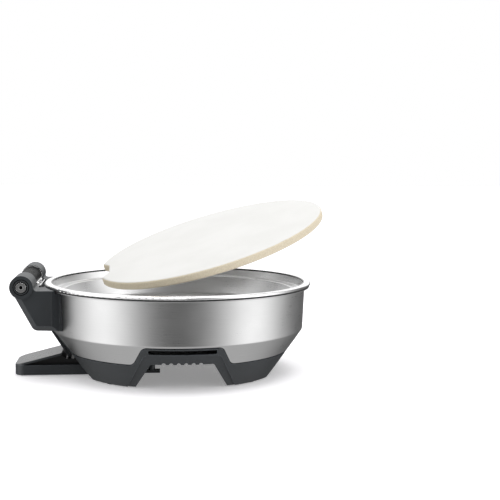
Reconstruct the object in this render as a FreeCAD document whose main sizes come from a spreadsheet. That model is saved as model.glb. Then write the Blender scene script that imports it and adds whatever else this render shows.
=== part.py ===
import FreeCAD, Part
import math
import os
from types import SimpleNamespace

import Sketcher

# Electric griddle: a round heated bowl on four moulded legs, with a lift-out baking stone,
# a lid hinge at the rear (-X) and a stabilising foot behind it. The bowl's axis is Z, the
# counter top is z = 0, +X is the front. Millimetres and degrees.

doc = FreeCAD.newDocument("Griddle")

# ---------------------------------------------------------------- driving dimensions

DIMENSIONS = [
    ("rim_radius", 183.0, "outside of the rolled rim"),
    ("rim_height", 125.4, "top of the rim above the counter"),
    ("rim_width", 10.1, "radial width of the rim's flange"),
    ("rim_skirt", 4.1, "depth of the rim's outer skirt"),
    ("rim_wall", 2.0, "thickness of the rim's flange"),
    ("rim_skirt_wall", 2.5, "thickness of the rim's skirt"),
    ("gasket", 1.4, "thickness of the seal under the rim"),
    ("gasket_inset", 1.1, "from the rim's outside in to the seal"),
    ("flange", 1.6, "thickness of the housing's flange under the seal"),
    ("flange_inset", 1.5, "from the rim's outside in to that flange"),
    ("crease_round", 5.0, "rounding of the crease"),
    ("hem_gap", 1.6, "open groove between the housing's edges and the frame"),
    ("wall_inset", 7.7, "how far the housing stands inside the rim, at its top"),
    ("crease_inset", 10.4, "how far the crease stands inside the rim"),
    ("crease_height", 61.7, "height of the crease"),
    ("hem_inset", 28.9, "how far the housing's bottom edge stands inside the rim"),
    ("hem_height", 34.4, "height of the housing's bottom edge"),
    ("toe_inset", 48.9, "how far the legs stand inside the rim at the counter"),
    ("steel_wall", 1.2, "horizontal wall of the housing"),
    ("seam", 0.4, "open seam between neighbouring fixed pieces"),
    ("running_gap", 0.3, "gap between pieces that move past each other"),
    ("shelf_depth", 11.4, "from the rim's top down to the stone's shelf"),
    ("shelf_inset", 11.9, "from the rim's outside in to the stone's shelf"),
    ("shelf_width", 14.1, "width of the stone's shelf"),
    ("liner_wall", 1.2, "wall of the bowl liner"),
    ("liner_floor_height", 73.0, "top of the liner's floor"),
    ("liner_foot_inset", 25.0, "from the shelf's bore in to where the floor turns up"),
    ("liner_waist_inset", 6.0, "from the shelf's bore in to the liner's waist"),
    ("liner_waist_rise", 11.0, "from the liner's floor up to its waist"),
    ("stone_play", 9.1, "from the edge of the seated stone out to the shelf's wall"),
    ("stone_thickness", 11.0, "baking stone"),
    ("stone_edge", 2.6, "rounding of the stone's edges"),
    ("stone_clearance", 0.5, "between the seated stone and its shelf"),
    ("notch_width", 40.0, "finger notch in the stone, along its inner side"),
    ("notch_depth", 14.0, "finger notch in the stone, inwards"),
    ("notch_flare", 2.2, "how much its sides open outwards for each millimetre of depth"),
    ("notch_corner", 8.0, "inner corners of the finger notch"),
    ("stone_lift", 56.3, "how far the lifted stone's centre stands above its seat"),
    ("stone_shift", 48.7, "how far the lifted stone's centre stands off the bowl's axis"),
    ("stone_tilt", 18.7, "tilt of the lifted stone"),
    ("stone_heading", 24.6, "uphill direction of the lifted stone, from +X towards +Y"),
    ("arch_top", 60.0, "top of the arch cut in the housing"),
    ("arch_half_top", 50.5, "half width of that arch at its top"),
    ("arch_half_hem", 62.3, "half width of that arch at the housing's bottom edge"),
    ("arch_corner", 9.0, "upper corners of that arch"),
    ("arch_flare", 8.0, "lower corners of that arch"),
    ("panel_top", 49.0, "top of the sunk panel inside the arch band"),
    ("panel_half_top", 48.0, "half width of the sunk panel at its top"),
    ("panel_half_floor", 70.5, "half width of the sunk panel at the counter"),
    ("panel_sink", 3.0, "how far the panel is sunk, measured horizontally"),
    ("mouth_top", 35.5, "top of the open mouth under the arch"),
    ("mouth_half_top", 40.0, "half width of the mouth at its top"),
    ("mouth_half_floor", 59.5, "half width of the mouth at the counter"),
    ("slot_room", 1.06, "from the heat control's tab, swung to its limit, to the slot's end"),
    ("slot_low", 50.6, "bottom of that slot"),
    ("slot_high", 56.4, "top of that slot"),
    ("scallop_radius", 2.5, "half-round air notches under the band"),
    ("scallop_pitch", 9.4, "pitch of the air notches"),
    ("scallop_count", 6, "air notches on each arch"),
    ("leg_foot_height", 1.2, "how far the rubber feet hold the legs off the counter"),
    ("leg_foot_wall", 16.1, "thickness of a leg at its foot"),
    ("leg_top_wall", 24.1, "thickness of a leg at the housing's bottom edge"),
    ("leg_top", 38.6, "ledge on top of the legs, which carries the bottom plate"),
    ("ring_wall", 7.0, "horizontal wall of the frame's ring"),
    ("pad_radius", 6.5, "rubber foot"),
    ("pad_depth", 1.5, "how deep a rubber foot sits in its leg"),
    ("pad_inset", 7.5, "from a leg's outside in to the middle of its rubber foot"),
    ("plate_room", 1.5, "from the bottom plate out to the frame's ring"),
    ("plate_wall", 2.0, "bottom plate"),
    ("vent_start", 30.0, "plate's vents, from the bowl's axis to their rear ends"),
    ("vent_length", 48.0, "plate's vents"),
    ("vent_width", 4.0, "plate's vents"),
    ("vent_pitch", 12.0, "plate's vents"),
    ("vent_count", 5, "plate's vents"),
    ("plate_screw_inset", 8.0, "from the bottom plate's edge in to its screws"),
    ("screw_radius", 1.9, "shank of every screw"),
    ("screw_head_radius", 3.5, "head of every screw"),
    ("screw_head", 1.8, "height of every screw's head"),
    ("screw_reach", 10.0, "how deep a screw's shank goes into its boss"),
    ("screw_fit", 0.05, "radial room around a screw's shank"),
    ("element_inset", 27.0, "from where the liner's floor turns up in to the element"),
    ("element_rise", 10.0, "from the liner's floor up to the element's centre"),
    ("element_tube", 4.0, "radius of the element's tube"),
    ("element_gap", 12.0, "angle from the rear line to each end of the element"),
    ("clip_width", 8.0, "element clips, along the tube"),
    ("clip_wall", 3.0, "element clips, beside the tube"),
    ("clip_cover", 2.0, "element clips, above the tube"),
    ("thermostat_x", 34.0, "thermostat, in front of the bowl's axis"),
    ("thermostat_radius", 8.5, "thermostat"),
    ("thermostat_depth", 8.0, "thermostat"),
    ("tab_width", 4.0, "thermostat's tabs"),
    ("tab_wall", 0.8, "thermostat's tabs"),
    ("tab_drop", 6.0, "how far those tabs reach below the thermostat"),
    ("tab_spread", 5.0, "from the thermostat's axis out to each tab"),
    ("fuse_x", 20.0, "thermal fuse, behind the bowl's axis"),
    ("fuse_y", 14.0, "thermal fuse, to the far side"),
    ("fuse_radius", 2.2, "thermal fuse"),
    ("fuse_half", 8.0, "half length of the thermal fuse"),
    ("saddle_half", 3.5, "half length of the fuse's saddle, across it"),
    ("saddle_drop", 6.0, "height of the fuse's saddle"),
    ("terminal_inset", 4.0, "from the element's circle in to the terminal block"),
    ("terminal_height", 11.0, "terminal block"),
    ("terminal_pitch", 10.0, "pitch of the terminal block's wells"),
    ("terminal_half", 16.0, "half length of the terminal block"),
    ("terminal_half_depth", 9.0, "half depth of the terminal block"),
    ("terminal_well", 5.0, "depth of its wells"),
    ("wire_seat", 4.0, "how deep the wires sit in those wells"),
    ("wire_rise", 2.0, "from the terminal block's top up to its wires' level runs"),
    ("wire_run", 3.4, "from there up to the ends of the element's legs"),
    ("wire_gap", 0.1, "between a wire's end and what it serves"),
    ("wire_radius", 1.4, "internal wires"),
    ("wire_bend", 2.4, "inner bends of the internal wires"),
    ("hinge_gap", 22.1, "from the rim's outside back to the hinge pin"),
    ("hinge_rise", 1.8, "hinge pin above the top of the rim"),
    ("hinge_half", 93.3, "half width across the hinge's end caps"),
    ("knuckle_radius", 15.0, "fixed knuckles"),
    ("drum_half", 43.0, "half length of the moving drum"),
    ("drum_radius", 12.2, "moving drum"),
    ("drum_groove", 1.2, "depth of the drum's ring grooves"),
    ("drum_groove_width", 2.4, "width of the drum's ring grooves"),
    ("drum_groove_pitch", 9.0, "pitch of the drum's ring grooves"),
    ("pin_radius", 4.0, "hinge pin"),
    ("pin_fit", 0.05, "radial clearance around the hinge pin"),
    ("washer", 1.5, "thickness of the washers beside the drum"),
    ("washer_radius", 14.2, "washers beside the drum"),
    ("cap_depth", 5.0, "thickness of the hinge's end caps"),
    ("cap_dish", 1.0, "depth of the rings sunk in an end cap"),
    ("bolt_radius", 6.4, "head of the bolt in an end cap"),
    ("bolt_proud", 0.6, "how far that head stands out of the cap"),
    ("bolt_socket", 2.4, "radius of the socket in that head"),
    ("bolt_shank", 3.0, "radius of that bolt's shank"),
    ("block_low", 69.3, "bottom of the hinge block"),
    ("block_drop", 3.6, "from the top of the rim down to the hinge block's top"),
    ("block_sill", 66.4, "bottom of the hinge block at the wall"),
    ("block_half_wall", 80.0, "half width of the hinge block at the wall"),
    ("block_depth", 65.1, "from the hinge pin to the block's front, inside the wall"),
    ("block_heel", 42.1, "from the hinge pin to where the block's underside dips"),
    ("block_taper_start", 38.1, "from the hinge pin to where the block narrows"),
    ("block_taper_end", 47.1, "from the hinge pin to where the narrowing ends"),
    ("block_screw_y", 30.0, "hinge block's screws, to each side"),
    ("block_screw_edge", 11.0, "from the block's bottom up to its lower screws"),
    ("block_corner", 9.0, "lower rear corner of the hinge block"),
    ("block_edge", 7.0, "bevel around the hinge block's side faces"),
    ("bracket_half", 34.0, "half length of the lid bracket"),
    ("bracket_wall", 2.2, "wall of the lid bracket"),
    ("bracket_drop", 9.2, "from the hinge pin down to the bracket's bottom"),
    ("bracket_reach", 12.5, "from the hinge pin forwards to the bracket's rear face"),
    ("bracket_width", 6.6, "lid bracket, front to back"),
    ("bracket_back_drop", 0.2, "from the hinge pin down to the rear flange's top"),
    ("bracket_front_drop", 4.0, "from the hinge pin down to the front flange's top"),
    ("spine_proud", 5.0, "how far the rear spine stands off the cone"),
    ("spine_low", 22.0, "lower end of the rear spine"),
    ("spine_angle", 15.0, "angle that the rear spine spans"),
    ("foot_reach", 87.6, "how far the stabilising foot reaches out behind the legs"),
    ("foot_tuck", 22.1, "how far the stabilising foot reaches in under the bowl"),
    ("foot_half", 35.0, "half width of the stabilising foot"),
    ("foot_corner", 14.0, "rear corners of the stabilising foot"),
    ("foot_flange_top", 14.5, "top of the foot's flange"),
    ("foot_web_half", 27.5, "half width of the foot's web"),
    ("foot_cover_wall", 3.0, "thickness of the foot's cover"),
    ("foot_cover_mid", 22.7, "from the foot's rear edge to where the cover's slope eases"),
    ("foot_cover_mid_top", 20.6, "top of the cover there"),
    ("foot_cover_front", 62.7, "from the foot's rear edge to the cover's front edge"),
    ("foot_cover_front_top", 30.8, "top of the cover there"),
    ("foot_web_tail", 13.0, "from the foot's rear edge in to its web"),
    ("foot_web_gap", 5.5, "from the frame's ring in to the foot's web"),
    ("foot_pad_inset", 8.0, "from the foot's rear edge in to its rubber pads"),
    ("foot_screw_inset", 14.0, "from the foot's front edge back to its screws"),
    ("foot_screw_y", 15.0, "the foot's screws, to each side"),
    ("rear_pad_y", 22.0, "rubber pads of the stabilising foot, to each side"),
    ("rear_pad_half", 7.0, "half side of those pads"),
    ("cleat_x", 38.0, "cord cleats, behind the bowl's axis"),
    ("cleat_y", 82.0, "cord cleats, to each side"),
    ("cleat_low", 12.5, "bottom of the cord cleats"),
    ("cleat_post", 4.5, "radius of a cleat's post"),
    ("cleat_arm_half", 11.0, "half length of a cleat's arm"),
    ("cleat_arm", 4.0, "thickness of a cleat's arm"),
    ("gland_x", 96.0, "cord gland, behind the bowl's axis"),
    ("gland_y", 62.0, "cord gland, to the far side"),
    ("gland_radius", 8.0, "cord gland"),
    ("gland_bore", 3.6, "bore of the cord gland"),
    ("gland_low", 24.0, "lower end of the cord gland"),
    ("control_swing", 13.0, "how far the heat control swings to each side"),
    ("tab_half", 3.8, "half width of the heat control's tab"),
    ("tab_proud", 1.4, "how far that tab stands off the band"),
    ("tab_gap", 0.6, "between that tab and the slot's top and bottom"),
    ("lever_half", 2.6, "half width of the lever behind that tab"),
    ("lever_neck", 5.0, "depth of the tab inside the slot"),
    ("lever_tail", 6.0, "how far the lever reaches in past the frame's ring"),
]

sheet = doc.addObject("Spreadsheet::Sheet", "Sizes")
for row, (alias, number, note) in enumerate(DIMENSIONS, start=1):
    sheet.set(f"A{row}", alias)
    sheet.set(f"B{row}", str(number))
    sheet.set(f"C{row}", note)
    sheet.setAlias(f"B{row}", alias)
doc.recompute()


class Size:
    """A number with the sheet expression that makes it, so that both stay together."""

    def __init__(self, value, text=None):
        self.value = float(value)
        self.text = text or repr(float(value))

    def combine(self, other, sign, swap=False):
        other = as_size(other)
        first, second = (other, self) if swap else (self, other)
        results = {
            "+": lambda a, b: a + b,
            "-": lambda a, b: a - b,
            "*": lambda a, b: a * b,
            "/": lambda a, b: a / b,
        }
        value = results[sign](first.value, second.value)
        return Size(value, f"({first.text} {sign} {second.text})")

    def __add__(self, other):
        return self.combine(other, "+")

    def __radd__(self, other):
        return self.combine(other, "+", swap=True)

    def __sub__(self, other):
        return self.combine(other, "-")

    def __rsub__(self, other):
        return self.combine(other, "-", swap=True)

    def __mul__(self, other):
        return self.combine(other, "*")

    def __rmul__(self, other):
        return self.combine(other, "*", swap=True)

    def __truediv__(self, other):
        return self.combine(other, "/")

    def __neg__(self):
        return Size(-self.value, f"(-1 * {self.text})")


def as_size(number):
    return number if isinstance(number, Size) else Size(number)


dim = SimpleNamespace(
    **{alias: Size(number, f"Sizes.{alias}") for alias, number, _ in DIMENSIONS}
)

# ---------------------------------------------------------------- sizes worked out once

dim.crease_radius = dim.rim_radius - dim.crease_inset
dim.hem_radius = dim.rim_radius - dim.hem_inset
dim.floor_radius = dim.rim_radius - dim.toe_inset
dim.shelf_radius = dim.rim_radius - dim.shelf_inset
dim.shelf_bore = dim.shelf_radius - dim.shelf_width
dim.stone_radius = dim.shelf_radius - dim.stone_play
dim.liner_floor_radius = dim.shelf_bore - dim.liner_foot_inset
dim.liner_waist_radius = dim.shelf_bore - dim.liner_waist_inset
dim.liner_waist_height = dim.liner_floor_height + dim.liner_waist_rise
dim.element_radius = dim.liner_floor_radius - dim.element_inset
dim.element_height = dim.liner_floor_height + dim.element_rise
dim.hinge_x = dim.rim_radius + dim.hinge_gap
dim.hinge_height = dim.rim_height + dim.hinge_rise
dim.block_high = dim.rim_height - dim.block_drop
dim.bracket_low = dim.hinge_height - dim.bracket_drop
dim.bracket_back_x = dim.hinge_x - dim.bracket_reach
dim.bracket_back_top = dim.hinge_height - dim.bracket_back_drop
dim.bracket_front_top = dim.hinge_height - dim.bracket_front_drop
dim.leg_inner_floor = dim.floor_radius - dim.leg_foot_wall
dim.leg_inner_top = dim.hem_radius - dim.leg_top_wall
dim.pad_circle = dim.floor_radius - dim.pad_inset
dim.foot_rear_x = dim.floor_radius + dim.foot_reach
dim.foot_front_x = dim.floor_radius - dim.foot_tuck
dim.foot_cover_mid_x = dim.foot_rear_x - dim.foot_cover_mid
dim.foot_cover_front_x = dim.foot_rear_x - dim.foot_cover_front
dim.wire_level = dim.leg_top + dim.plate_wall + dim.terminal_height + dim.wire_rise
dim.element_low = dim.wire_level + dim.wire_run


def along(start, end, height):
    """Radius at a height on the straight line between two (radius, height) points."""
    share = (height - start[1]) / (end[1] - start[1])
    return start[0] + (end[0] - start[0]) * share


wall_top = dim.rim_height - dim.rim_wall
wall_top_radius = dim.rim_radius - dim.wall_inset
crease = (dim.crease_radius, dim.crease_height)
hem = (dim.hem_radius, dim.hem_height)
lip = (wall_top_radius, wall_top)
toe = (dim.floor_radius, Size(0))
shelf_height = dim.rim_height - dim.shelf_depth
stone_seat = shelf_height + dim.stone_clearance
leg_bottom = dim.leg_foot_height
band_top = dim.arch_top - dim.hem_gap
frame_top = dim.arch_top
cap_inner = dim.hinge_half - dim.cap_depth
washer_outer = dim.drum_half + dim.running_gap + dim.washer
bore_radius = dim.pin_radius + dim.pin_fit
hinge_x = -dim.hinge_x
plate_top = dim.leg_top + dim.plate_wall
bracket_front = dim.bracket_back_x - dim.bracket_width
screw_hole = dim.screw_radius + dim.screw_fit
terminal_x = dim.terminal_inset - dim.element_radius
frame_skin = dim.steel_wall + dim.seam
dim.ring_inner_low = along(hem, crease, dim.leg_top) - frame_skin - dim.ring_wall
dim.ring_inner_high = along(hem, crease, frame_top) - frame_skin - dim.ring_wall
dim.plate_radius = dim.ring_inner_low - dim.plate_room
dim.plate_screw_circle = dim.plate_radius - dim.plate_screw_inset
dim.flange_top = dim.rim_height - dim.rim_skirt - dim.gasket
dim.flange_low = dim.flange_top - dim.flange
FAR = 260.0

tab_reach = along(hem, crease, dim.slot_high - dim.tab_gap) + dim.tab_proud
swing = math.radians(dim.control_swing.value)
swing_across = Size(math.sin(swing), "sin(Sizes.control_swing)")
swing_ahead = Size(math.cos(swing), "cos(Sizes.control_swing)")
dim.slot_half = tab_reach * swing_across + dim.tab_half * swing_ahead + dim.slot_room

# ---------------------------------------------------------------- modelling helpers


def bind(obj, name, size):
    obj.setExpression(name, as_size(size).text)


def place(obj, at=(0, 0, 0), axis=(0, 0, 1), angle=0.0):
    obj.Placement = FreeCAD.Placement(
        FreeCAD.Vector(*[as_size(c).value for c in at]),
        FreeCAD.Rotation(FreeCAD.Vector(*axis), angle),
    )
    for letter, number in zip("xyz", at):
        if isinstance(number, Size):
            bind(obj, f"Placement.Base.{letter}", number)
    return obj


def new_body(name):
    return doc.addObject("PartDesign::Body", name)


def new_sketch(body, role, offset=None):
    sketch = body.newObject("Sketcher::SketchObject", body.Name + "_sketch")
    plane = [f for f in body.Origin.OriginFeatures if f.Role == role][0]
    sketch.AttachmentSupport = [(plane, "")]
    sketch.MapMode = "FlatFace"
    if offset is not None:
        sketch.AttachmentOffset = FreeCAD.Placement(
            FreeCAD.Vector(0, 0, as_size(offset).value), FreeCAD.Rotation()
        )
        bind(sketch, "AttachmentOffset.Base.z", offset)
    return sketch


def locate(sketch, geometry, vertex, at):
    """Fix a sketch point at an (x, y) that may come from the sheet."""
    for kind, number in zip(("DistanceX", "DistanceY"), at):
        number = as_size(number)
        index = sketch.addConstraint(
            Sketcher.Constraint(kind, -1, 1, geometry, vertex, number.value)
        )
        if "Sizes" in number.text:
            bind(sketch, f"Constraints[{index}]", number)


def draw_circle(sketch, centre, radius):
    circle = Part.Circle(
        FreeCAD.Vector(as_size(centre[0]).value, as_size(centre[1]).value, 0),
        FreeCAD.Vector(0, 0, 1),
        as_size(radius).value,
    )
    geometry = sketch.addGeometry(circle, False)
    locate(sketch, geometry, 3, centre)
    index = sketch.addConstraint(
        Sketcher.Constraint("Radius", geometry, as_size(radius).value)
    )
    bind(sketch, f"Constraints[{index}]", radius)


def draw_outline(sketch, corners):
    """A closed outline of straight sides; a third entry in a corner rounds it."""
    count = len(corners)
    points = [
        FreeCAD.Vector(as_size(c[0]).value, as_size(c[1]).value, 0) for c in corners
    ]
    rounds = [as_size(c[2]) if len(c) > 2 else None for c in corners]
    starts, ends = [], []
    for i, corner in enumerate(points):
        to_last = (points[i - 1] - corner).normalize()
        to_next = (points[(i + 1) % count] - corner).normalize()
        if rounds[i] is None:
            trim = 0.0
        else:
            half = to_last.getAngle(to_next) / 2
            trim = rounds[i].value / math.tan(half)
        ends.append(corner + to_last * trim)
        starts.append(corner + to_next * trim)
    sides = [
        sketch.addGeometry(Part.LineSegment(starts[i], ends[(i + 1) % count]), False)
        for i in range(count)
    ]
    for i, corner in enumerate(corners):
        before, after = sides[i - 1], sides[i]
        if rounds[i] is None:
            sketch.addConstraint(Sketcher.Constraint("Coincident", before, 2, after, 1))
            locate(sketch, after, 1, corner)
            continue
        mark = sketch.addGeometry(Part.Point(points[i]), True)
        locate(sketch, mark, 1, corner)
        sketch.addConstraint(Sketcher.Constraint("PointOnObject", mark, 1, before))
        sketch.addConstraint(Sketcher.Constraint("PointOnObject", mark, 1, after))
        arc, arc_in, arc_out = add_corner_arc(sketch, points[i], ends[i], starts[i])
        sketch.addConstraint(Sketcher.Constraint("Tangent", before, 2, arc, arc_in))
        sketch.addConstraint(Sketcher.Constraint("Tangent", after, 1, arc, arc_out))
        index = sketch.addConstraint(
            Sketcher.Constraint("Radius", arc, rounds[i].value)
        )
        bind(sketch, f"Constraints[{index}]", rounds[i])


def add_corner_arc(sketch, corner, arrive, leave):
    """The arc that rounds one corner, and which of its ends meets each side."""
    chord_middle = (arrive + leave) * 0.5
    inward = (chord_middle - corner).normalize()
    half_chord = (leave - arrive).Length / 2
    trim = (arrive - corner).Length
    half = math.asin(half_chord / trim)
    centre = corner + inward * (trim / math.cos(half))
    radius = (arrive - centre).Length
    spoke_in, spoke_out = arrive - centre, leave - centre
    left_turn = spoke_in.cross(spoke_out).z > 0
    first, last = (spoke_in, spoke_out) if left_turn else (spoke_out, spoke_in)
    circle = Part.Circle(centre, FreeCAD.Vector(0, 0, 1), radius)
    start = math.atan2(first.y, first.x)
    stop = math.atan2(last.y, last.x)
    arc = sketch.addGeometry(Part.ArcOfCircle(circle, start, stop), False)
    return (arc, 1, 2) if left_turn else (arc, 2, 1)


def revolved(name, corners, angle=360):
    """A body of revolution about Z from (radius, height) corners."""
    body = new_body(name)
    sketch = new_sketch(body, "XZ_Plane")
    draw_outline(sketch, corners)
    feature = body.newObject("PartDesign::Revolution", name + "_turn")
    feature.Profile = sketch
    feature.ReferenceAxis = (sketch, ["V_Axis"])
    feature.Midplane = True
    bind(feature, "Angle", angle)
    return body


def padded(name, role, draw, length, offset=None, midplane=False, reverse=False):
    """A body with one pad; draw(sketch) puts the outline in its sketch."""
    body = new_body(name)
    sketch = new_sketch(body, role, offset)
    draw(sketch)
    feature = body.newObject("PartDesign::Pad", name + "_pad")
    feature.Profile = sketch
    feature.Midplane = midplane
    feature.Reversed = reverse
    bind(feature, "Length", length)
    return body


def outlined(corners):
    return lambda sketch: draw_outline(sketch, corners)


def circled(centre, radius):
    return lambda sketch: draw_circle(sketch, centre, radius)


def add_pad(body, role, draw, length, offset=None, midplane=False, reverse=False):
    return add_step(body, "Pad", role, draw, length, offset, midplane, reverse)


def add_pocket(body, role, draw, length, offset=None, midplane=False, reverse=False):
    return add_step(body, "Pocket", role, draw, length, offset, midplane, reverse)


def add_step(body, kind, role, draw, length, offset, midplane, reverse):
    sketch = new_sketch(body, role, offset)
    draw(sketch)
    feature = body.newObject("PartDesign::" + kind, f"{body.Name}_{kind.lower()}")
    feature.Profile = sketch
    feature.Midplane = midplane
    feature.Reversed = reverse
    bind(feature, "Length", length)
    return feature


def edges_where(body, accepts):
    """Names of the body's edges whose bounding box is accepted."""
    edges = enumerate(body.Shape.Edges, start=1)
    return [f"Edge{i}" for i, edge in edges if accepts(edge.BoundBox)]


def add_fillet(body, edge_names, radius):
    return dress(body, "Fillet", edge_names, "Radius", radius)


def dress(body, kind, edge_names, size_name, size):
    """A fillet or chamfer on named edges of the body's last feature."""
    base = body.Tip
    feature = body.newObject("PartDesign::" + kind, f"{body.Name}_{kind.lower()}")
    feature.Base = (base, edge_names)
    bind(feature, size_name, size)
    return feature


def cylinder(name, radius, height, at, axis=(0, 0, 1), angle=0.0):
    obj = doc.addObject("Part::Cylinder", name)
    bind(obj, "Radius", radius)
    bind(obj, "Height", height)
    return place(obj, at, axis, angle)


def crosswise(name, radius, start_y, length, x, z):
    """A cylinder along +Y from start_y."""
    return cylinder(name, radius, length, (x, start_y, z), (1, 0, 0), -90)


def slab(name, low, high):
    """A box between two opposite corners."""
    obj = doc.addObject("Part::Box", name)
    for side, a, b in zip(("Length", "Width", "Height"), low, high):
        bind(obj, side, as_size(b) - as_size(a))
    return place(obj, low)


def fused(name, shapes):
    obj = doc.addObject("Part::MultiFuse", name)
    obj.Shapes = shapes
    obj.Refine = True
    return obj


def grouped(name, shapes):
    """Several identical separate solids kept as one group."""
    obj = doc.addObject("Part::Compound", name)
    obj.Links = shapes
    return obj


def removed(name, base, tools):
    obj = doc.addObject("Part::Cut", name)
    obj.Base = base
    obj.Tool = tools[0] if len(tools) == 1 else fused(name + "_tools", tools)
    return obj


def shared(name, first, second):
    obj = doc.addObject("Part::Common", name)
    obj.Base = first
    obj.Tool = second
    return obj


pieces = {}


def keep(node, obj):
    """Record a finished sub-part under its own label."""
    obj.Label = node
    pieces[node] = obj
    return obj


def mirrored(corners):
    """Close an outline across the vertical axis from its right-hand corners."""
    left = [(-as_size(c[0]), *c[1:]) for c in reversed(corners)]
    return list(corners) + left


def both_ways(name, corners, length):
    """The same upright outline run through the bowl along Y and along X."""
    along_y = padded(name + "_y", "XZ_Plane", outlined(corners), length, midplane=True)
    along_x = padded(name + "_x", "YZ_Plane", outlined(corners), length, midplane=True)
    return fused(name, [along_y, along_x])


# ---------------------------------------------------------------- housing, rim and liner


def flank(top, bottom, height):
    """Half width of a slanted arch side at a height."""
    return along(top, bottom, height)


def arch_outline(inset):
    """The arch cut in the housing, or with an inset the band that fills it."""
    top = dim.arch_top - inset
    shoulder = (dim.arch_half_top, dim.arch_top)
    ankle = (dim.arch_half_hem, dim.hem_height)
    low = dim.hem_height - inset
    reach = dim.arch_half_hem + dim.arch_flare * 2
    right = [
        (reach, low - 6),
        (reach, low),
        (flank(shoulder, ankle, low) - inset, low, dim.arch_flare + inset),
        (flank(shoulder, ankle, top) - inset, top, dim.arch_corner - inset),
    ]
    return mirrored(right)


def make_housing():
    shell = revolved(
        "housing_shell",
        [
            hem,
            (*crease, dim.crease_round),
            (along(crease, lip, dim.flange_low), dim.flange_low),
            (dim.rim_radius - dim.flange_inset, dim.flange_low, dim.flange * 0.4),
            (dim.rim_radius - dim.flange_inset, dim.flange_top, dim.flange * 0.4),
            (along(crease, lip, dim.flange_top), dim.flange_top),
            lip,
            (lip[0] - dim.steel_wall, lip[1]),
            (crease[0] - dim.steel_wall, crease[1], dim.crease_round - dim.steel_wall),
            (hem[0] - dim.steel_wall, hem[1]),
        ],
    )
    arches = both_ways("housing_arches", arch_outline(Size(0)), dim.rim_radius * 2)
    holes = block_screw_tools("housing_screw_hole", screw_hole)
    keep("outer_housing", removed("housing", shell, [arches] + holes))


def make_rim():
    inner = dim.rim_radius - dim.rim_width
    skirt_inner = dim.rim_radius - dim.rim_skirt_wall
    top = dim.rim_height
    low = top - dim.rim_skirt
    corners = [
        (inner, wall_top),
        (skirt_inner, wall_top),
        (skirt_inner, low),
        (dim.rim_radius, low, 1.6),
        (dim.rim_radius, top, 2.2),
        (inner, top, 1.4),
    ]
    keep("rim_ring", revolved("rim", corners))
    seal = [
        (lip[0] + dim.seam, dim.flange_top),
        (dim.rim_radius - dim.gasket_inset, dim.flange_top),
        (dim.rim_radius - dim.gasket_inset, low),
        (lip[0] + dim.seam, low),
    ]
    keep("rim_seal", revolved("seal", seal))


def make_liner():
    inner = dim.rim_radius - dim.rim_width
    wall = dim.liner_wall
    floor = dim.liner_floor_height
    corners = [
        (0, floor),
        (dim.liner_floor_radius, floor, 14.0),
        (dim.liner_waist_radius, dim.liner_waist_height, 12.0),
        (dim.shelf_bore, shelf_height, 1.0),
        (dim.shelf_radius, shelf_height, 1.0),
        (inner - 0.1, wall_top),
        (inner + wall - 0.1, wall_top),
        (dim.shelf_radius + wall, shelf_height - wall, 2.2),
        (dim.shelf_bore + wall, shelf_height - wall, 0.6),
        (dim.liner_waist_radius + wall, dim.liner_waist_height, 13.0),
        (dim.liner_floor_radius + wall, floor - wall, 15.0),
        (0, floor - wall),
    ]
    liner = revolved("liner", corners)
    holes = [
        cylinder(
            f"liner_hole_{side}",
            dim.element_tube + 0.6,
            wall * 3,
            (*element_end(side), floor - wall * 2),
        )
        for side in (-1, 1)
    ]
    keep("bowl_liner", removed("liner_pierced", liner, holes))


# ---------------------------------------------------------------- heating and wiring


def element_end(side):
    """Where one leg of the element goes down, beside the rear line."""
    turn = dim.element_gap.value
    across = Size(math.sin(math.radians(turn)), "sin(Sizes.element_gap)")
    back = Size(math.cos(math.radians(turn)), "cos(Sizes.element_gap)")
    return -dim.element_radius * back, dim.element_radius * across * side


def make_element():
    ring = doc.addObject("Part::Torus", "element_ring")
    bind(ring, "Radius1", dim.element_radius)
    bind(ring, "Radius2", dim.element_tube)
    bind(ring, "Angle3", 360 - dim.element_gap * 2)
    start = -180 + dim.element_gap.value
    place(ring, (0, 0, dim.element_height), (0, 0, 1), start)
    parts = [ring]
    leg_low = dim.element_low
    for side in (-1, 1):
        x, y = element_end(side)
        knee = doc.addObject("Part::Sphere", f"element_knee_{side}")
        bind(knee, "Radius", dim.element_tube)
        parts.append(place(knee, (x, y, dim.element_height)))
        length = dim.element_height - leg_low
        parts.append(
            cylinder(f"element_leg_{side}", dim.element_tube, length, (x, y, leg_low))
        )
    keep("heating_element", fused("element", parts))


def make_clips():
    clips = []
    floor = dim.liner_floor_height
    high = dim.element_height + dim.element_tube + dim.clip_cover
    reach = dim.element_tube + dim.clip_wall
    for number, angle in enumerate((0, 120, 240)):
        post = slab(
            f"clip_post_{number}",
            (dim.element_radius - reach, -dim.clip_width / 2, floor),
            (dim.element_radius + reach, dim.clip_width / 2, high),
        )
        hole = crosswise(
            f"clip_hole_{number}",
            dim.element_tube + dim.running_gap,
            -dim.clip_width,
            dim.clip_width * 2,
            dim.element_radius,
            dim.element_height,
        )
        clip = removed(f"clip_{number}", post, [hole])
        clips.append(place(clip, (0, 0, 0), (0, 0, 1), angle))
    keep("element_clips", grouped("clips", clips))


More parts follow.
